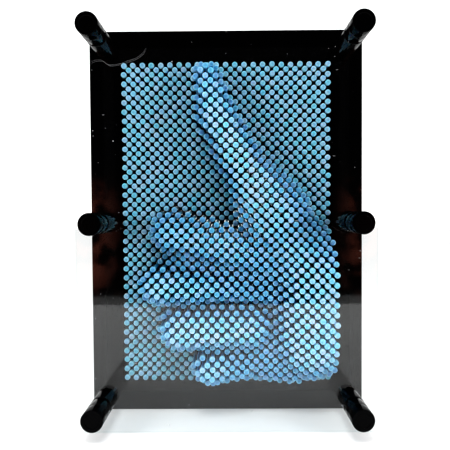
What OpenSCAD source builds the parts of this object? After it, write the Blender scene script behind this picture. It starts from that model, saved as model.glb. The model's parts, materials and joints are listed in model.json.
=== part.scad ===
/* [Plates] */
// Width of the cover and of the two pin plates
plate_w = 150; // [140:1:180]
// Height of the cover and of the two pin plates
plate_h = 210; // [200:1:240]
// Thickness of the clear cover
cover_t = 2; // [1.5:0.5:4]
// Thickness of each pin plate
pin_plate_t = 2; // [1.5:0.5:3]
// Clear depth between the cover and the front pin plate
cover_gap = 28; // [24:1:34]
// Clear depth between the two pin plates
plate_gap = 6; // [4:1:10]

/* [Pins] */
// Distance between neighbouring pins in one row
pin_pitch = 5.08; // [4.7:0.02:5.1]
// Pins in a long row; the rows between have one pin less
long_row_pins = 23; // [15:2:23]
// Number of long rows
long_rows = 35; // [25:2:35]
// Diameter of a pin's round head
head_d = 3; // [2.6:0.1:3.2]
// Thickness of a pin's head
head_t = 2; // [1.5:0.1:2.5]
// Diameter of a pin's shaft
shaft_d = 1.7; // [1.4:0.1:1.8]
// Length of a pin over its head
pin_l = 42; // [38:0.5:42]
// Diameter of the holes that the shafts slide in
hole_d = 2.5; // [2.4:0.05:2.5]
// Angle by which the pins hang down in their holes, in degrees
pin_sag = 3.2; // [0:0.1:3.3]

/* [Posts] */
// Diameter of the posts and of their feet
post_d = 10.8; // [10.4:0.2:12]
// Distance from a post's middle to the plates' side edges
post_side_inset = 11; // [7:0.5:13]
// Distance from a corner post's middle to the plates' top or bottom edge
post_end_inset = 12; // [7:0.5:13]
// Length of a foot's cap, and of the collar behind it
foot_part_l = 7.5; // [6.5:0.5:10]
// Length of a rear leg, between the rear pin plate and its foot
rear_leg_l = 17; // [12:1:24]
// Diameter of the steel rod that holds a post together
rod_d = 4; // [3:0.5:4]

/* [Impression] */
// Least push that counts as part of the impression
least_lift = 1.5; // [0.5:0.5:4]
// Random spread of how far the impression's pins are pushed
lift_spread = 0.5; // [0:0.1:1]

/* [Hidden] */
// A resting head stays this far off the front plate, and a fully raised one this far off the cover
head_rest_gap = 0.2;
cover_clearance = 0.3;
travel = cover_gap - head_t - head_rest_gap - cover_clearance;
row_step = pin_pitch / 2;
rows = 2 * long_rows - 1;
mid_z = plate_h / 2;

// Depths along Y, from the front feet (-Y) to the rear feet (+Y)
foot_l = 2 * foot_part_l;
depth = 2 * foot_l + cover_t + cover_gap + 2 * pin_plate_t + plate_gap + rear_leg_l;
front_y = -depth / 2;
cover_y = front_y + foot_l;
spacer_y = cover_y + cover_t;
front_plate_y = spacer_y + cover_gap;
plate_spacer_y = front_plate_y + pin_plate_t;
rear_plate_y = plate_spacer_y + plate_gap;
rear_leg_y = rear_plate_y + pin_plate_t;
rear_collar_y = rear_leg_y + rear_leg_l;
rear_cap_y = rear_collar_y + foot_part_l;
// The pins turn down about the middle of the two pin plates, and slide along their own axes
pin_pivot_y = (front_plate_y + rear_leg_y) / 2;

// Fasteners inside the posts, and the push-on caps over their nuts
rod_hole_d = rod_d + 0.4;
nut_af = rod_d + 3;
nut_t = 3.2;
nut_bore_d = rod_d + 0.05;
cap_bore_d = nut_af / cos(30) + 0.02;
cap_floor = 2;
cap_ring_d = 0.66 * post_d;
cap_ring_depth = 0.4;
rod_end_gap = 0.5;
rod_l = depth - 2 * (cap_floor + rod_end_gap);

// The posts as [name, side, height], with -1, 0 and 1 for left or bottom, middle, and right or top
posts = [
  ["top_left", -1, 1], ["top_right", 1, 1],
  ["middle_left", -1, 0], ["middle_right", 1, 0],
  ["bottom_left", -1, -1], ["bottom_right", 1, -1]
];

// A pin plate is built from bands of rows that step in thickness by a hair, so that no single
// face carries all of the holes
band_rows = 6;
band_step = 0.02;

// The impression: a closed hand with its thumb up. Each ridge runs between two points and lifts
// the pins within its radius: [feature, start, end, [radii], [lifts], roundness], in mm from the
// plates' middle. A roundness of 2 is a half circle, and more is squarer
thumb = 0;
index_finger = 1;
middle_finger = 2;
ring_finger = 3;
little_finger = 4;
palm = 5;
ridges = [
  [thumb, [-10, 77], [-5, 56.5], [8, 11.5], [22, 24], 2.6],
  [thumb, [-5, 56.5], [9, 29.5], [11.5, 12.5], [24, 24], 2.6],
  [thumb, [9, 29.5], [25, 4], [12.5, 21.5], [24, 23], 2.6],
  [index_finger, [-29, -4], [0, -11], [12, 12], [22, 22], 2.6],
  [index_finger, [0, -11], [24, -18.5], [12, 12], [22, 20], 2.6],
  [middle_finger, [-35.5, -31.5], [0, -32.5], [11.5, 9], [24, 21], 2.6],
  [middle_finger, [0, -32.5], [24, -36.5], [9, 6], [21, 18], 2.6],
  [ring_finger, [-24, -54.5], [12, -53.5], [12.5, 13], [24, 23], 2.6],
  [little_finger, [-9, -74.5], [8, -72.5], [10.5, 11], [24, 19], 2.6],
  [palm, [32, -10.5], [46, -30.5], [22, 24], [22, 25], 2.2],
  [palm, [46, -30.5], [45, -58.5], [24, 26], [26, 26], 2.2],
  [palm, [-16, -20.5], [28, -22.5], [18, 18], [16, 18], 3],
  [palm, [-14, -44.5], [30, -44.5], [16, 18], [10, 13], 3],
  [palm, [0, -64.5], [34, -64.5], [18, 22], [16, 18], 3]
];

// A group of pins slides as one: flat pins by their place in the field, raised ones by their
// feature and by how far they are pushed
feature_names = ["thumb", "index", "middle", "ring", "little", "palm"];
level_names = ["low", "mid", "high", "crest"];
level_tops = [14, 18, 22];
field_names = ["top_left", "top_right", "upper_left", "upper_right",
               "lower_left", "lower_right", "bottom_left"];
field_split_x = -5;
field_edges_z = [43, 0, -43];

function sum_true(v) = len([for (b = v) if (b) 1]);
function along(p, a, b) = min(1, max(0, ((p - a) * (b - a)) / ((b - a) * (b - a))));
function mix(pair, t) = pair[0] + t * (pair[1] - pair[0]);
function ridge_lift(p, s) =
  let (t = along(p, s[1], s[2]))
  let (share = norm(p - s[1] - t * (s[2] - s[1])) / mix(s[3], t))
  share < 1 ? mix(s[4], t) * pow(1 - pow(share, s[5]), 1 / s[5]) : 0;

// Each pin as [x, z, lift, group]
field_group = function(p)
  let (row = sum_true([for (edge = field_edges_z) p[1] < edge]))
  p[0] < field_split_x ? 2 * row : 2 * min(row, 2) + 1;
level_of = function(lift) sum_true([for (top = level_tops) lift >= top]);
pin_places = [
  for (r = [0:rows - 1])
    let (n = r % 2 == 0 ? long_row_pins : long_row_pins - 1)
      for (c = [0:n - 1]) [(c - (n - 1) / 2) * pin_pitch, (r - (rows - 1) / 2) * row_step]
];
spread = rands(-lift_spread, lift_spread, len(pin_places), 7);
pins = [
  for (i = [0:len(pin_places) - 1])
    let (p = pin_places[i], lifts = [for (s = ridges) ridge_lift(p, s)], top = max(lifts))
      let (raised = top >= least_lift, lift = raised ? min(travel, max(0, top + spread[i])) : 0)
        let (feature = ridges[search(top, lifts)[0]][0])
          [p[0], p[1], lift,
           raised ? len(field_names) + 4 * feature + level_of(lift) : field_group(p)]
];
group_names = concat(
  [for (f = field_names) str("pins_field_", f)],
  [for (f = feature_names) for (l = level_names) str("pins_", f, "_", l)]
);
used_groups = [for (g = [0:len(group_names) - 1]) if (len([for (p = pins) if (p[3] == g) 1]) > 0) g];

function post_x(p) = p[1] * (plate_w / 2 - post_side_inset);
function post_z(p) = mid_z + p[2] * (plate_h / 2 - post_end_inset);

module at_post(p, y) translate([post_x(p), y, post_z(p)]) rotate([-90, 0, 0]) children();

module at_posts(y) for (p = posts) at_post(p, y) children();

module tube(d, bore, l) difference() {
  cylinder(d = d, h = l, $fn = 64);
  translate([0, 0, -1]) cylinder(d = bore, h = l + 2, $fn = 48);
}

// A plate outline in its own plane, centred, facing -Y once stood up
module stand_up(y, t) translate([0, y + t / 2, mid_z]) rotate([90, 0, 0]) children();

module rod_holes() for (p = posts)
  translate([post_x(p), post_z(p) - mid_z]) circle(d = rod_hole_d, $fn = 48);

module clear_cover() color([0.9, 0.95, 1, 0.3]) stand_up(cover_y, cover_t)
  linear_extrude(height = cover_t, center = true) difference() {
    square([plate_w, plate_h], center = true);
    rod_holes();
  }

// A band's lower and upper edge, with the first and last bands reaching the plate's ends
function band_edge(k, bands) =
  k == 0 ? -plate_h / 2 : k == bands ? plate_h / 2 : (k * band_rows - rows / 2) * row_step;

module pin_plate(y) {
  bands = ceil(rows / band_rows);
  stand_up(y, pin_plate_t) union() for (k = [0:bands - 1]) {
    low = band_edge(k, bands);
    high = band_edge(k + 1, bands);
    t = pin_plate_t - (k % 2) * band_step;
    linear_extrude(height = t, center = true) difference() {
      translate([-plate_w / 2, low]) square([plate_w, high - low]);
      for (p = pin_places) if (p[1] > low && p[1] < high) translate(p) circle(d = hole_d, $fn = 24);
      rod_holes();
    }
  }
}

module front_pin_plate() color([0.05, 0.05, 0.05]) pin_plate(front_plate_y);

module rear_pin_plate() color([0.05, 0.05, 0.05]) pin_plate(rear_plate_y);

// A push-on cap with its round face towards +Z, a shallow ring in the face and room for a nut
module foot_cap() color([0.04, 0.04, 0.04]) difference() {
  cylinder(d = post_d, h = foot_part_l, $fn = 64);
  translate([0, 0, -1]) cylinder(d = cap_bore_d, h = foot_part_l - cap_floor + 1, $fn = 48);
  translate([0, 0, foot_part_l - cap_ring_depth]) cylinder(d = cap_ring_d, h = 1, $fn = 48);
}

module front_foot_cap(p) at_post(p, front_y + foot_part_l) mirror([0, 0, 1]) foot_cap();

module rear_foot_caps() at_posts(rear_cap_y) foot_cap();

module front_foot_collars()
  color([0.05, 0.05, 0.05]) at_posts(cover_y - foot_part_l) tube(post_d, rod_hole_d, foot_part_l);

module rear_foot_collars()
  color([0.05, 0.05, 0.05]) at_posts(rear_collar_y) tube(post_d, rod_hole_d, foot_part_l);

module cover_spacer(p)
  color([0.06, 0.06, 0.06]) at_post(p, spacer_y) tube(post_d, rod_hole_d, cover_gap);

module plate_spacers()
  color([0.06, 0.06, 0.06]) at_posts(plate_spacer_y) tube(post_d, rod_hole_d, plate_gap);

module rear_leg(p)
  color([0.06, 0.06, 0.06]) at_post(p, rear_leg_y) tube(post_d, rod_hole_d, rear_leg_l);

module tie_rods() color("silver")
  at_posts(front_y + cap_floor + rod_end_gap) cylinder(d = rod_d, h = rod_l, $fn = 48);

module nut() color("gray") difference() {
  cylinder(d = nut_af / cos(30), h = nut_t, $fn = 6);
  translate([0, 0, -1]) cylinder(d = nut_bore_d, h = nut_t + 2, $fn = 48);
}

module front_nuts() at_posts(cover_y - foot_part_l - nut_t) nut();

module rear_nuts() at_posts(rear_cap_y) nut();

// One pin along +Y, with the back of its head at the origin
module pin() rotate([-90, 0, 0]) rotate_extrude($fn = 24) polygon([
  [0, -head_t], [head_d / 2, -head_t], [head_d / 2, 0], [shaft_d / 2, 0],
  [shaft_d / 2, pin_l - head_t], [0, pin_l - head_t]
]);

module pin_group(g) color(g < len(field_names) ? "steelblue" : "deepskyblue")
  for (p = pins) if (p[3] == g)
    translate([p[0], pin_pivot_y, mid_z + p[1]]) rotate([pin_sag, 0, 0])
      translate([0, front_plate_y - head_rest_gap - p[2] - pin_pivot_y, 0]) pin();

clear_cover();
front_pin_plate();
rear_pin_plate();
for (p = posts) front_foot_cap(p);
for (p = posts) cover_spacer(p);
for (p = posts) rear_leg(p);
front_foot_collars();
plate_spacers();
rear_foot_collars();
rear_foot_caps();
tie_rods();
front_nuts();
rear_nuts();
for (g = used_groups) pin_group(g);
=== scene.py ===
"""Looks, stage and camera for the pin art impression toy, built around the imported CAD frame."""

import json
import math

import bpy
import numpy as np
from mathutils import Matrix, Vector


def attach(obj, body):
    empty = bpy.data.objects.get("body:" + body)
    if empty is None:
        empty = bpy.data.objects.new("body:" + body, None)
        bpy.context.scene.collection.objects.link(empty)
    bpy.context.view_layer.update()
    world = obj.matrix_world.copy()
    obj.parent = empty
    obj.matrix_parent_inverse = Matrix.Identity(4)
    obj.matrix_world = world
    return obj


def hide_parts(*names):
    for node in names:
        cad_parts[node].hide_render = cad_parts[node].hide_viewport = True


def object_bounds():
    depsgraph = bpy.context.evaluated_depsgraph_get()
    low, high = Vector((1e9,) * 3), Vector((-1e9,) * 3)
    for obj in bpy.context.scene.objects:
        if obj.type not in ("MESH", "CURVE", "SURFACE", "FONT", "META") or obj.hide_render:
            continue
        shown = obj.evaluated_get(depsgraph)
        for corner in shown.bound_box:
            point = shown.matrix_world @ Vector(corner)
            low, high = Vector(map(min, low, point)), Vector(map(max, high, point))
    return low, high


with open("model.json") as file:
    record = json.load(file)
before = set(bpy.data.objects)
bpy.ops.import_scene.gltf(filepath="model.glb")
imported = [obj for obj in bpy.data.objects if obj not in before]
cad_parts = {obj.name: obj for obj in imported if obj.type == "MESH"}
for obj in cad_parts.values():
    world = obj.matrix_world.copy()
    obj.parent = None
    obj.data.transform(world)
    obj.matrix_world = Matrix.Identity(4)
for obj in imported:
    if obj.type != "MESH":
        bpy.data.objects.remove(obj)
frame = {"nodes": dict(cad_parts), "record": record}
CAD_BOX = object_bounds()
NODES = frame["nodes"]
BODY_OF = {n: b for b, members in frame["record"]["behaviour"]["bodies"].items() for n in members}
PIN_NODES = sorted(n for n in NODES if n.startswith("pins_"))
SLIDE_AXIS = frame["record"]["behaviour"]["joints"][0]["axis"]
SAG = math.atan2(-SLIDE_AXIS[2], -SLIDE_AXIS[1])
MM = 0.001

# ---- camera -------------------------------------------------------------------------------
CAMERA_PLACE = Vector((1.3, -274.0, 110.7)) * MM
CAMERA_PITCH = math.radians(-1.57)
CAMERA_YAW = math.radians(0.45)
CAMERA_ROLL = math.radians(0.36)
SENSOR = 36.0
LENS = 39.68


def make_camera():
    data = bpy.data.cameras.new("camera")
    data.sensor_width = SENSOR
    data.lens = LENS
    data.clip_start, data.clip_end = 0.01, 20.0
    camera = bpy.data.objects.new("camera", data)
    turn = Matrix.Rotation(CAMERA_YAW, 4, "Z") @ Matrix.Rotation(math.pi / 2 + CAMERA_PITCH, 4, "X")
    camera.matrix_world = (
        Matrix.Translation(CAMERA_PLACE) @ turn @ Matrix.Rotation(-CAMERA_ROLL, 4, "Z")
    )
    bpy.context.scene.collection.objects.link(camera)
    bpy.context.scene.camera = camera


# ---- node helper --------------------------------------------------------------------------
class Nodes:
    """A short way to write a node tree: add() makes a node, sets its values and links its inputs."""

    def __init__(self, tree):
        self.tree = tree
        tree.nodes.clear()

    def add(self, kind, settings=None, **inputs):
        node = self.tree.nodes.new(kind)
        for name, value in (settings or {}).items():
            setattr(node, name, value)
        for name, value in inputs.items():
            self.put(node.inputs[int(name[1:]) if name[1:].isdigit() else name.replace("_", " ")], value)
        return node

    def put(self, socket, value):
        if isinstance(value, bpy.types.Node):
            value = next(s for s in value.outputs if s.enabled)
        if isinstance(value, bpy.types.NodeSocket):
            self.tree.links.new(value, socket)
        else:
            socket.default_value = value

    def math(self, operation, a, b=0.0, clamp=False):
        return self.add("ShaderNodeMath", {"operation": operation, "use_clamp": clamp}, i0=a, i1=b)

    def smooth(self, value, low, high, out_low=0.0, out_high=1.0):
        """out_low below low, out_high above high, and a smooth step between."""
        return self.add(
            "ShaderNodeMapRange",
            {"interpolation_type": "SMOOTHSTEP"},
            Value=value, From_Min=low, From_Max=high, To_Min=out_low, To_Max=out_high,
        )

    def mix_colour(self, factor, a, b):
        node = self.add("ShaderNodeMix", {"data_type": "RGBA"})
        self.put(node.inputs["Factor"], factor)
        self.put(node.inputs[6], a)
        self.put(node.inputs[7], b)
        return node.outputs[2]

    def ramp(self, value, stops):
        node = self.add("ShaderNodeValToRGB", Fac=value)
        elements = node.color_ramp.elements
        while len(elements) < len(stops):
            elements.new(0.5)
        for element, (place, colour) in zip(elements, stops):
            element.position, element.color = place, colour
        return node.outputs["Color"]

    def tint(self, a, b):
        node = self.add("ShaderNodeMix", {"data_type": "RGBA", "blend_type": "MULTIPLY"})
        node.inputs["Factor"].default_value = 1
        self.put(node.inputs[6], a)
        self.put(node.inputs[7], b)
        return node.outputs[2]


def material(name, build):
    """A material whose surface is the shader that build() makes from its empty node tree."""
    made = bpy.data.materials.new(name)
    made.use_nodes = True
    nodes = Nodes(made.node_tree)
    nodes.add("ShaderNodeOutputMaterial", Surface=build(nodes))
    return made


# ---- materials ----------------------------------------------------------------------------
# Each pin's own colour lies between these two. A painted highlight makes its head paler towards the rim
PIN_CYAN = (0.13, 0.44, 0.57, 1)
PIN_LILAC = (0.26, 0.43, 0.58, 1)
PIN_RIM_PAINTED_HIGHLIGHT = (0.55, 0.85, 0.95, 1)
RIM_HIGHLIGHT_SHARE = 0.3
PIN_MOTTLE = 0.2
# Painted light and shade that multiply the colour by depth, from the foremost heads (0) back to the front
# plate (1): the foremost heads are painted lighter, and the pins behind them painted darker as the shade
# between the crowded pins
PIN_TOP_DEPTH = -26 * MM
PIN_DEPTH_PAINTED_LIGHT_AND_SHADE = [
    (0.07, (1.28, 1.1, 1.05, 1)), (0.2, (0.58, 0.74, 0.87, 1)),
    (0.4, (0.45, 0.62, 0.78, 1)), (1.0, (0.9, 0.83, 0.8, 1)),
]
# Painted shade that darkens the shafts, as light is lost between the crowded pins
PIN_SHAFT_PAINTED_SHADE = (0.42, 0.86, 0.97, 1)
PIN_GLOW_DEPTH = 1.2 * MM
ACRYLIC_IOR = 1.49
PART_SHINE = 1.42
CAP_SHINE = 1.18
BLACK = (0.0005, 0.0005, 0.0007, 1)
WHITE = (1, 1, 1, 1)
STEEL_GREY = (0.55, 0.55, 0.56, 1)
DUST_GREY = (0.55, 0.56, 0.58, 1)
SHEET_DUST = 0.3
COVER_TINT = (0.985, 0.992, 0.99, 1)
COVER_EDGE = (0.93, 0.95, 0.95, 1)
COVER_MIRRORS = 0.03
COVER_DUST = 0.7
# Seed, turn in radians and share of cells of each family of scratches on the cover
SCRATCHES = ((0.2, 0.5, 0.06), (0.5, 1.4, 0.05), (0.9, 2.5, 0.05))
# A hair on the cover, as places in a window of the cover that is 40 mm wide and 12 mm high
HAIR_CORNER = (-70.5 * MM, 180.5 * MM)
HAIR_WINDOW = (40 * MM, 12 * MM)
HAIR_BENDS = [(0.08, 0.22), (0.22, 0.42), (0.34, 0.22), (0.58, 0.38), (0.69, 0.53), (0.79, 0.92)]
HAIR_WIDTH = 0.07 * MM
HAIR_CORE = 0.4 * HAIR_WIDTH
HAIR_STRENGTH = 0.4


def object_point(nodes):
    return nodes.add("ShaderNodeTexCoord").outputs["Object"]


def specks(nodes, cells, size, share, seed, stretch=(1, 1, 1), turn=0.0, waver=0.0):
    """A mask of scattered marks: cells of 1/cells metres, marks of size times a cell, in a share of
    the cells. Stretched and turned about Y they are scratches, and waver bends them."""
    point = object_point(nodes)
    if waver:
        bend = nodes.add("ShaderNodeTexNoise", Vector=point, Scale=30.0, Detail=1.0)
        shift = nodes.add(
            "ShaderNodeVectorMath", {"operation": "SCALE"}, i0=bend.outputs["Color"], Scale=waver
        )
        point = nodes.add("ShaderNodeVectorMath", {"operation": "ADD"}, i0=point, i1=shift.outputs[0])
    placed = nodes.add(
        "ShaderNodeMapping", Vector=point, Location=(seed, 0, -seed), Rotation=(0, turn, 0), Scale=stretch
    )
    cell = nodes.add("ShaderNodeTexVoronoi", Vector=placed, Scale=cells)
    lot = nodes.add("ShaderNodeSeparateColor", i0=cell.outputs["Color"])
    chosen = nodes.math("LESS_THAN", lot.outputs[0], share)
    spread = nodes.math("MULTIPLY", lot.outputs[1], size)
    near = nodes.math("LESS_THAN", cell.outputs["Distance"], spread)
    return nodes.math("MULTIPLY", chosen, near)


def pin_plastic(nodes):
    """Blue plastic with painted light and shade: its foremost heads are painted lighter, and it is painted
    darker with depth behind the cover and in the shafts, as shade where light is lost between the crowded
    pins. A painted highlight makes the heads paler at their rims."""
    tone = nodes.add("ShaderNodeAttribute", {"attribute_name": "pin_tone"}).outputs["Fac"]
    mottle = nodes.add("ShaderNodeTexNoise", Vector=object_point(nodes), Scale=900.0, Detail=2.0)
    uneven = nodes.math("MULTIPLY", mottle.outputs["Fac"], PIN_MOTTLE)
    mixed = nodes.math("ADD", tone, uneven, clamp=True)
    colour = nodes.mix_colour(mixed, PIN_CYAN, PIN_LILAC)
    place = nodes.add("ShaderNodeSeparateXYZ", i0=nodes.add("ShaderNodeNewGeometry").outputs["Position"])
    depth = nodes.math("SUBTRACT", 1.0, nodes.math("DIVIDE", place.outputs["Y"], PIN_TOP_DEPTH))
    # painted light on the foremost heads and painted shade on the pins behind them, by depth
    colour = nodes.tint(colour, nodes.ramp(depth, PIN_DEPTH_PAINTED_LIGHT_AND_SHADE))
    in_shaft = nodes.add("ShaderNodeAttribute", {"attribute_name": "in_shaft"}).outputs["Fac"]
    in_rim = nodes.add("ShaderNodeAttribute", {"attribute_name": "in_rim"}).outputs["Fac"]
    # painted highlight that pales each head towards its rim
    colour = nodes.mix_colour(nodes.math("MULTIPLY", in_rim, RIM_HIGHLIGHT_SHARE), colour, PIN_RIM_PAINTED_HIGHLIGHT)
    # painted shade in the shafts
    colour = nodes.tint(colour, nodes.mix_colour(in_shaft, WHITE, PIN_SHAFT_PAINTED_SHADE))
    grain = nodes.add("ShaderNodeBump", Height=mottle.outputs["Fac"], Strength=0.15, Distance=0.0002)
    return nodes.add(
        "ShaderNodeBsdfPrincipled",
        Base_Color=colour, Roughness=0.32, IOR=ACRYLIC_IOR, Normal=grain,
        Subsurface_Weight=1.0, Subsurface_Radius=(0.5, 1.0, 1.3), Subsurface_Scale=PIN_GLOW_DEPTH,
    )


def black_sheet(nodes):
    """Glossy black acrylic with two sizes of dust."""
    dust = specks(nodes, cells=260, size=0.09, share=0.25, seed=0.3)
    fine = specks(nodes, cells=700, size=0.1, share=0.12, seed=0.7)
    marks = nodes.math("MAXIMUM", dust, fine)
    rough = nodes.smooth(marks, 0, 1, 0.06, 0.6)
    colour = nodes.mix_colour(nodes.math("MULTIPLY", marks, SHEET_DUST), BLACK, DUST_GREY)
    return nodes.add("ShaderNodeBsdfPrincipled", Base_Color=colour, Roughness=rough, IOR=ACRYLIC_IOR)


def black_moulding(nodes, shine=PART_SHINE):
    """Black moulded plastic with a fine grain. Its shine is an index of refraction."""
    grain = nodes.add("ShaderNodeTexNoise", Vector=object_point(nodes), Scale=1500.0, Detail=3.0)
    bump = nodes.add("ShaderNodeBump", Height=grain.outputs["Fac"], Strength=0.12, Distance=0.0001)
    rough = nodes.smooth(grain.outputs["Fac"], 0.2, 0.8, 0.1, 0.2)
    return nodes.add("ShaderNodeBsdfPrincipled", Base_Color=BLACK, Roughness=rough, IOR=shine, Normal=bump)


def zinc_steel(nodes):
    """Dull plated steel for the rods and nuts."""
    grain = nodes.add("ShaderNodeTexNoise", Vector=object_point(nodes), Scale=800.0, Detail=4.0)
    rough = nodes.smooth(grain.outputs["Fac"], 0.2, 0.8, 0.25, 0.45)
    return nodes.add("ShaderNodeBsdfPrincipled", Base_Color=STEEL_GREY, Metallic=1.0, Roughness=rough)


def hair(nodes):
    """A mask of one curved hair lying on the front of the cover."""
    place = nodes.add("ShaderNodeSeparateXYZ", i0=object_point(nodes))
    across = nodes.math("DIVIDE", nodes.math("SUBTRACT", place.outputs["X"], HAIR_CORNER[0]), HAIR_WINDOW[0])
    bend = nodes.add("ShaderNodeFloatCurve", Value=across)
    curve = bend.mapping.curves[0]
    for spot, old in zip(HAIR_BENDS[::5], curve.points):
        old.location = spot
    for spot in HAIR_BENDS[1:-1]:
        curve.points.new(*spot)
    bend.mapping.update()
    height = nodes.math("MULTIPLY_ADD", bend, HAIR_WINDOW[1])
    nodes.put(height.inputs[2], HAIR_CORNER[1])
    near = nodes.math("ABSOLUTE", nodes.math("SUBTRACT", place.outputs["Z"], height))
    on_line = nodes.smooth(near, HAIR_CORE, HAIR_WIDTH, 1, 0)
    begun = nodes.math("GREATER_THAN", across, HAIR_BENDS[0][0])
    ended = nodes.math("LESS_THAN", across, HAIR_BENDS[-1][0])
    return nodes.math("MULTIPLY", on_line, nodes.math("MULTIPLY", begun, ended))


def clear_acrylic(nodes):
    """A sheet that lets the view straight through, mirrors more at grazing angles, and carries dust,
    scratches and a hair on its faces."""
    clear = nodes.add("ShaderNodeBsdfTransparent", Color=COVER_TINT)
    shine = nodes.add("ShaderNodeBsdfGlossy", Color=WHITE, Roughness=0.03)
    facing = nodes.add("ShaderNodeLayerWeight", Blend=0.5).outputs["Facing"]
    mirrored = nodes.math("MULTIPLY_ADD", nodes.math("POWER", facing, 5.0), 1 - COVER_MIRRORS)
    nodes.put(mirrored.inputs[2], COVER_MIRRORS)
    pane = nodes.add("ShaderNodeMixShader", i0=mirrored, i1=clear, i2=shine)
    marks = specks(nodes, cells=300, size=0.11, share=0.22, seed=0.1)
    for seed, turn, share in SCRATCHES:
        scratch = specks(
            nodes, cells=60, size=0.1, share=share, seed=seed, stretch=(1, 1, 9), turn=turn, waver=0.004
        )
        marks = nodes.math("MAXIMUM", marks, scratch)
    dull = nodes.add("ShaderNodeBsdfDiffuse", Color=DUST_GREY)
    normal = nodes.add("ShaderNodeSeparateXYZ", i0=nodes.add("ShaderNodeNewGeometry").outputs["Normal"])
    is_face = nodes.math("GREATER_THAN", nodes.math("ABSOLUTE", normal.outputs["Y"]), 0.5)
    dusty = nodes.math("MULTIPLY", marks, COVER_DUST)
    hairy = nodes.math("MULTIPLY", hair(nodes), HAIR_STRENGTH)
    marks = nodes.math("MULTIPLY", nodes.math("MAXIMUM", dusty, hairy), is_face)
    worn = nodes.add("ShaderNodeMixShader", i0=marks, i1=pane, i2=dull)
    edge = nodes.add("ShaderNodeBsdfTransparent", Color=COVER_EDGE)
    return nodes.add("ShaderNodeMixShader", i0=is_face, i1=edge, i2=worn)


MATERIALS = {
    "blue_plastic": material("pin_plastic", pin_plastic),
    "black_acrylic": material("black_sheet", black_sheet),
    "black_plastic": material("black_moulding", black_moulding),
    "steel": material("zinc_steel", zinc_steel),
    "clear_acrylic": material("clear_sheet", clear_acrylic),
}
DULL_BLACK = material("black_cap", lambda nodes: black_moulding(nodes, CAP_SHINE))
SLOT_OF = {s["node"]: s["material_slot"] for s in frame["record"]["subparts"]}


# ---- meshes -------------------------------------------------------------------------------
WELD = 1e-6
SMOOTH_ANGLE = math.radians(35)


def solids(node):
    """The lowest and highest corners of each separate solid in a CAD node, as an (n, 2, 3) array."""
    mesh = NODES[node].data
    points = np.empty(len(mesh.vertices) * 3)
    mesh.vertices.foreach_get("co", points)
    points = points.reshape(-1, 3)
    welded, spot = np.unique(np.round(points / WELD).astype(np.int64), axis=0, return_inverse=True)
    edges = np.empty(len(mesh.edges) * 2, np.int64)
    mesh.edges.foreach_get("vertices", edges)
    a, b = spot.reshape(-1)[edges].reshape(-1, 2).T
    label = np.arange(len(welded))
    while True:
        low = np.minimum(label[a], label[b])
        new = label.copy()
        np.minimum.at(new, a, low)
        np.minimum.at(new, b, low)
        new = new[new]
        if (new == label).all():
            break
        label = new
    roots, solid = np.unique(label, return_inverse=True)
    boxes = np.stack([np.full((len(roots), 3), np.inf), np.full((len(roots), 3), -np.inf)], 1)
    np.minimum.at(boxes[:, 0], solid, welded * WELD)
    np.maximum.at(boxes[:, 1], solid, welded * WELD)
    return boxes


def revolve(profile, segments, ring_shaped=False):
    """A closed shape turned about Y from (radius, y) pairs, given from the front's middle, round the
    outside, to the back's middle. A ring-shaped one joins its last pair to its first instead.
    It returns the points, the corners of all faces in one row, and each face's number of corners."""
    angles = np.arange(segments) * 2 * math.pi / segments
    rings = np.array([
        [(r * math.cos(t), y, r * math.sin(t)) for t in angles] for r, y in profile
    ])
    spans = len(profile) if ring_shaped else len(profile) - 1
    ring, turn = np.meshgrid(np.arange(spans), np.arange(segments), indexing="ij")
    after, behind = (turn + 1) % segments, (ring + 1) % len(profile)
    quads = np.stack(
        [ring * segments + turn, ring * segments + after,
         behind * segments + after, behind * segments + turn], -1
    ).reshape(-1, 4)
    if ring_shaped:
        return rings.reshape(-1, 3), quads.ravel(), np.full(len(quads), 4)
    front = np.arange(segments)[::-1]
    back = (len(profile) - 1) * segments + np.arange(segments)
    corners = np.concatenate([quads.ravel(), front, back])
    sizes = np.concatenate([np.full(len(quads), 4), [segments, segments]])
    return rings.reshape(-1, 3), corners, sizes


def mesh_piece(name, points, corners, sizes, node_names, slot_name):
    """A mesh object that replaces CAD nodes and rides on their body."""
    mesh = bpy.data.meshes.new(name)
    mesh.vertices.add(len(points))
    mesh.vertices.foreach_set("co", points.astype(np.float32).ravel())
    mesh.loops.add(len(corners))
    mesh.loops.foreach_set("vertex_index", corners.astype(np.int32))
    mesh.polygons.add(len(sizes))
    starts = np.concatenate([[0], np.cumsum(sizes)[:-1]])
    mesh.polygons.foreach_set("loop_start", starts.astype(np.int32))
    mesh.update(calc_edges=True)
    mesh.validate()
    mesh.polygons.foreach_set("use_smooth", np.ones(len(sizes), bool))
    mesh.set_sharp_from_angle(angle=SMOOTH_ANGLE)
    mesh.materials.append(MATERIALS[slot_name])
    piece = bpy.data.objects.new(name, mesh)
    bpy.context.scene.collection.objects.link(piece)
    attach(piece, BODY_OF[node_names[0]])
    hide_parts(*node_names)
    return piece


def arc(centre_r, centre_y, radius, start, end, steps):
    """Profile points along a round, with angles in degrees from outwards (0) to the front (90)."""
    return [
        (centre_r + radius * math.cos(math.radians(t)), centre_y - radius * math.sin(math.radians(t)))
        for t in np.linspace(start, end, steps)
    ]


# ---- pins ---------------------------------------------------------------------------------
PIN_SEGMENTS = 20
PIN_SEED = 11
HEAD_RADIUS = 1.5 * MM
HEAD_LENGTH = 2.0 * MM
SHAFT_RADIUS = 0.85 * MM
SHOULDER = 0.62 * MM
DIMPLE_RADIUS = 0.7 * MM
DIMPLE_DEPTH = 0.05 * MM
DIMPLE_LIP = 0.02 * MM
BACK_ROUND = 0.2 * MM
TIP_CHAMFER = 0.3 * MM
# How far a pin shifts and leans in its holes at the most, and its head sits off its shaft
PLAY = 0.05 * MM
LEAN = math.radians(0.12)
HEAD_OFF_CENTRE = 0.28 * MM


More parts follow.
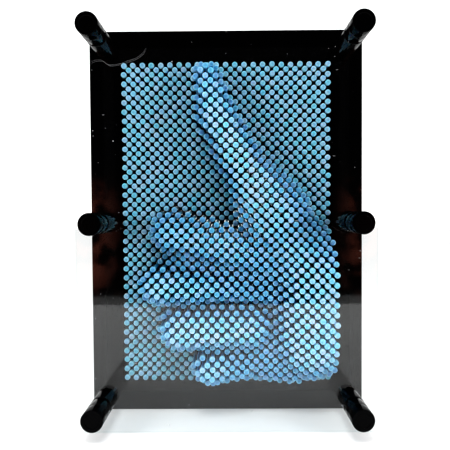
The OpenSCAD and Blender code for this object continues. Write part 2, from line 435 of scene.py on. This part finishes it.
def pin_profile(length):
    """A button-headed pin from the dimple in its head, at the front, to its tip."""
    head = [(0.7 * DIMPLE_RADIUS, DIMPLE_DEPTH), (DIMPLE_RADIUS, DIMPLE_LIP)]
    head += arc(HEAD_RADIUS - SHOULDER, SHOULDER, SHOULDER, 90, 0, 6)
    head += arc(HEAD_RADIUS - BACK_ROUND, HEAD_LENGTH - BACK_ROUND, BACK_ROUND, 0, -90, 3)
    return head + [
        (SHAFT_RADIUS, HEAD_LENGTH), (SHAFT_RADIUS, length - TIP_CHAMFER),
        (SHAFT_RADIUS - 0.6 * TIP_CHAMFER, length),
    ]


def set_point_values(piece, name, values):
    """Stores one number for each point of a mesh, for its material to read."""
    attribute = piece.data.attributes.new(name, "FLOAT", "POINT")
    attribute.data.foreach_set("value", values.astype(np.float32))


def make_pins(node, draw):
    """All pins of a node, each along its own sagging axis with a little play in its holes."""
    boxes = solids(node)
    low, high = boxes[:, 0], boxes[:, 1]
    cosine, sine = math.cos(SAG), math.sin(SAG)
    fronts = np.stack([
        (low[:, 0] + high[:, 0]) / 2, low[:, 1] + HEAD_RADIUS * sine, low[:, 2] + HEAD_RADIUS * cosine
    ], -1)
    length = ((high[:, 1] - fronts[:, 1]).mean() - SHAFT_RADIUS * sine) / cosine
    points, corners, sizes = revolve(pin_profile(length), PIN_SEGMENTS)
    count = len(boxes)
    turn, shift, side = draw.uniform(0, 2 * math.pi, (3, count, 1))
    lean = LEAN * np.sqrt(draw.uniform(0, 1, (count, 1)))
    play = PLAY * np.sqrt(draw.uniform(0, 1, (count, 1)))
    is_head = points[:, 1] < HEAD_LENGTH - 0.5 * BACK_ROUND
    off_centre = is_head * HEAD_OFF_CENTRE * draw.uniform(0, 1, (count, 1))
    reach = points[:, 1] - length / 3
    x = points[:, 0] + play * np.cos(shift) + reach * lean * np.cos(turn) + off_centre * np.cos(side)
    z = points[:, 2] + play * np.sin(shift) + reach * lean * np.sin(turn) + off_centre * np.sin(side)
    placed = np.stack([x, points[:, 1] * cosine - z * sine, points[:, 1] * sine + z * cosine], -1)
    placed += fronts[:, None]
    all_corners = (corners[None] + len(points) * np.arange(count)[:, None]).ravel()
    piece = mesh_piece(
        f"{node}_moulded", placed.reshape(-1, 3), all_corners, np.tile(sizes, count), [node], "blue_plastic"
    )
    from_axis = np.hypot(points[:, 0], points[:, 2])
    # marks the shafts for their painted shade
    in_shaft = (from_axis < 1.01 * SHAFT_RADIUS) & (points[:, 1] > HEAD_LENGTH / 2)
    # how far each head point lies out towards the rim, for the painted highlight
    in_rim = np.clip((from_axis - DIMPLE_RADIUS) / (HEAD_RADIUS - DIMPLE_RADIUS), 0, 1) * ~in_shaft
    set_point_values(piece, "pin_tone", np.repeat(draw.uniform(0, 1, count), len(points)))
    set_point_values(piece, "in_shaft", np.tile(in_shaft, count))
    set_point_values(piece, "in_rim", np.tile(in_rim, count))


# ---- posts --------------------------------------------------------------------------------
POST_SEGMENTS = 64
EDGE_ROUND = 0.2 * MM
SEAM_ROUND = 0.22 * MM
BORE_RADIUS = 2.2 * MM
NUT_ROOM_RADIUS = 4.04 * MM
CAP_FLOOR = 2.0 * MM
CAP_CENTRE = 0.4 * MM
RING_RADIUS = 3.56 * MM
RING_DEPTH = 0.4 * MM
RING_ROUND = 0.12 * MM


def cap_profile(radius, length):
    """A foot's cap: a sunk round in its face, a seam chamfer behind, and the room for its nut."""
    face = [(CAP_CENTRE, RING_DEPTH), (RING_RADIUS - RING_ROUND, RING_DEPTH)]
    face += [(RING_RADIUS, RING_DEPTH - RING_ROUND), (RING_RADIUS, RING_ROUND)]
    face += [(RING_RADIUS + RING_ROUND, 0)] + arc(radius - EDGE_ROUND, EDGE_ROUND, EDGE_ROUND, 90, 0, 4)
    seam = arc(radius - SEAM_ROUND, length - SEAM_ROUND, SEAM_ROUND, 0, -90, 4)
    return face + seam + [(NUT_ROOM_RADIUS, length), (NUT_ROOM_RADIUS, CAP_FLOOR), (CAP_CENTRE, CAP_FLOOR)]


def tube_profile(radius, length):
    """A collar, spacer or leg: a tube with rounded ends."""
    front = arc(radius - SEAM_ROUND, SEAM_ROUND, SEAM_ROUND, 90, 0, 4)
    rear = arc(radius - SEAM_ROUND, length - SEAM_ROUND, SEAM_ROUND, 0, -90, 4)
    return [(BORE_RADIUS, 0)] + front + rear + [(BORE_RADIUS, length)]


def make_post_part(node):
    """The turned parts of one node: caps where its name says so, and tubes elsewhere."""
    boxes = solids(node)
    size = boxes[0, 1] - boxes[0, 0]
    is_cap = "_cap" in node
    profile = (cap_profile if is_cap else tube_profile)(size[0] / 2, size[1])
    points, corners, sizes = revolve(profile, POST_SEGMENTS, ring_shaped=not is_cap)
    if is_cap and node.startswith("rear"):
        points = points * (-1, -1, 1) + (0, size[1], 0)
    middles = (boxes[:, 0] + boxes[:, 1]) / 2
    middles[:, 1] = boxes[:, 0, 1]
    placed = (points[None] + middles[:, None]).reshape(-1, 3)
    all_corners = (corners[None] + len(points) * np.arange(len(boxes))[:, None]).ravel()
    part = mesh_piece(
        f"{node}_turned", placed, all_corners, np.tile(sizes, len(boxes)), [node], "black_plastic"
    )
    if is_cap:
        part.data.materials[0] = DULL_BLACK


# ---- stage --------------------------------------------------------------------------------
TABLE_FRONT = -0.37
TABLE_WHITE = (0.8, 0.8, 0.8, 1)
TABLE_GLOW = 0.1
TABLE_REACH = 3.0
TABLE_GAP = 0.0002


def make_table():
    """A white table, from just behind the camera to far behind the toy."""
    bpy.ops.mesh.primitive_plane_add(size=1)
    table = bpy.context.object
    table.name = "table"
    table.scale = (2 * TABLE_REACH, TABLE_REACH - TABLE_FRONT, 1)
    table.location = (0, (TABLE_REACH + TABLE_FRONT) / 2, CAD_BOX[0].z - TABLE_GAP)
    table.data.materials.append(material(
        "white_table",
        lambda nodes: nodes.add(
            "ShaderNodeBsdfPrincipled", Base_Color=TABLE_WHITE, Roughness=0.6,
            Emission_Color=WHITE, Emission_Strength=TABLE_GLOW,
        ),
    ))


ROOM_LIGHT = 0.78
BACKDROP_LIGHT = 1.15
BROWN = (1, 0.36, 0.25, 1)
BROWN_LIGHT = 0.8
# Where the brown glow sets in and is full, as slopes from the world's -Y axis, on each side and
# from below, and where it fades above. The last pair thins it to patches of noise.
BROWN_BESIDE = (0.2, 0.3)
BROWN_BELOW = (-0.2, -0.1)
BROWN_ABOVE = (0.0, 0.09)
BROWN_PATCHES = (0.4, 0.6)
# The dark part of the room: half its width and height as slopes from that axis, and its soft edge
DARK_SIDE = 0.45
DARK_TOP = 0.55
DARK_EDGE = 0.4
# Each lamp's place, size and power
SOFTBOXES = {
    "softbox_left": ((-0.38, -0.36, 0.20), 0.16, 1.0),
    "softbox_right": ((0.39, -0.34, 0.17), 0.16, 1.0),
    "softbox_top": ((-0.03, -0.32, 0.48), 0.16, 1.1),
}


def make_softboxes():
    """Soft lights around the view, which the cover and the black sheets don't mirror."""
    middle = (CAD_BOX[0] + CAD_BOX[1]) / 2
    for name, (place, size, power) in SOFTBOXES.items():
        data = bpy.data.lights.new(name, "AREA")
        data.size, data.energy = size, power
        lamp = bpy.data.objects.new(name, data)
        lamp.location = place
        lamp.rotation_euler = (middle - Vector(place)).to_track_quat("-Z", "Y").to_euler()
        lamp.visible_glossy = False
        bpy.context.scene.collection.objects.link(lamp)


def make_world():
    """A white room that is dark only on the toy's front side, so that black gloss stays black, with
    a faint brown glow in the dark. What stands behind the toy is seen as plain white."""
    world = bpy.data.worlds.new("room")
    bpy.context.scene.world = world
    world.use_nodes = True
    nodes = Nodes(world.node_tree)
    heading = nodes.add("ShaderNodeTexCoord").outputs["Generated"]
    direction = nodes.add("ShaderNodeSeparateXYZ", i0=heading)
    forward = nodes.math("MAXIMUM", nodes.math("MULTIPLY", direction.outputs["Y"], -1.0), 0.001)
    side = nodes.math("ABSOLUTE", nodes.math("DIVIDE", direction.outputs["X"], forward))
    rise = nodes.math("ABSOLUTE", nodes.math("DIVIDE", direction.outputs["Z"], forward))
    beside = nodes.smooth(side, DARK_SIDE, DARK_SIDE + DARK_EDGE)
    above = nodes.smooth(rise, DARK_TOP, DARK_TOP + DARK_EDGE)
    bright = nodes.math("MAXIMUM", beside, above)
    seen = nodes.add("ShaderNodeLightPath").outputs["Is Camera Ray"]
    strength = nodes.add("ShaderNodeMix", {"data_type": "FLOAT"})
    nodes.put(strength.inputs[0], seen)
    nodes.put(strength.inputs[2], nodes.math("MULTIPLY", bright, ROOM_LIGHT))
    nodes.put(strength.inputs[3], BACKDROP_LIGHT)
    background = nodes.add("ShaderNodeBackground", Color=WHITE, Strength=strength.outputs[0])
    height = nodes.math("DIVIDE", direction.outputs["Z"], forward)
    low, high = nodes.smooth(height, *BROWN_BELOW), nodes.smooth(height, *BROWN_ABOVE, 1, 0)
    patch = nodes.math("MULTIPLY", nodes.smooth(side, *BROWN_BESIDE), nodes.math("MULTIPLY", low, high))
    mottle = nodes.add("ShaderNodeTexNoise", Vector=heading, Scale=30.0)
    patch = nodes.math("MULTIPLY", patch, nodes.smooth(mottle.outputs["Fac"], *BROWN_PATCHES))
    glow = nodes.math("MULTIPLY", patch, BROWN_LIGHT)
    brown = nodes.add("ShaderNodeBackground", Color=BROWN, Strength=glow)
    both = nodes.add("ShaderNodeAddShader", i0=background, i1=brown)
    nodes.add("ShaderNodeOutputWorld", Surface=both)


# ---- build --------------------------------------------------------------------------------
make_camera()
make_table()
make_softboxes()
make_world()
draw = np.random.default_rng(PIN_SEED)
for node in PIN_NODES:
    make_pins(node, draw)
for node in sorted(n for n in NODES if SLOT_OF[n] == "black_plastic"):
    make_post_part(node)
for node, cad in NODES.items():
    if not cad.hide_render:
        cad.data.materials.clear()
        cad.data.materials.append(MATERIALS[SLOT_OF[node]])

view_settings = bpy.context.scene.view_settings
view_settings.view_transform = "Standard"
view_settings.look = "High Contrast"
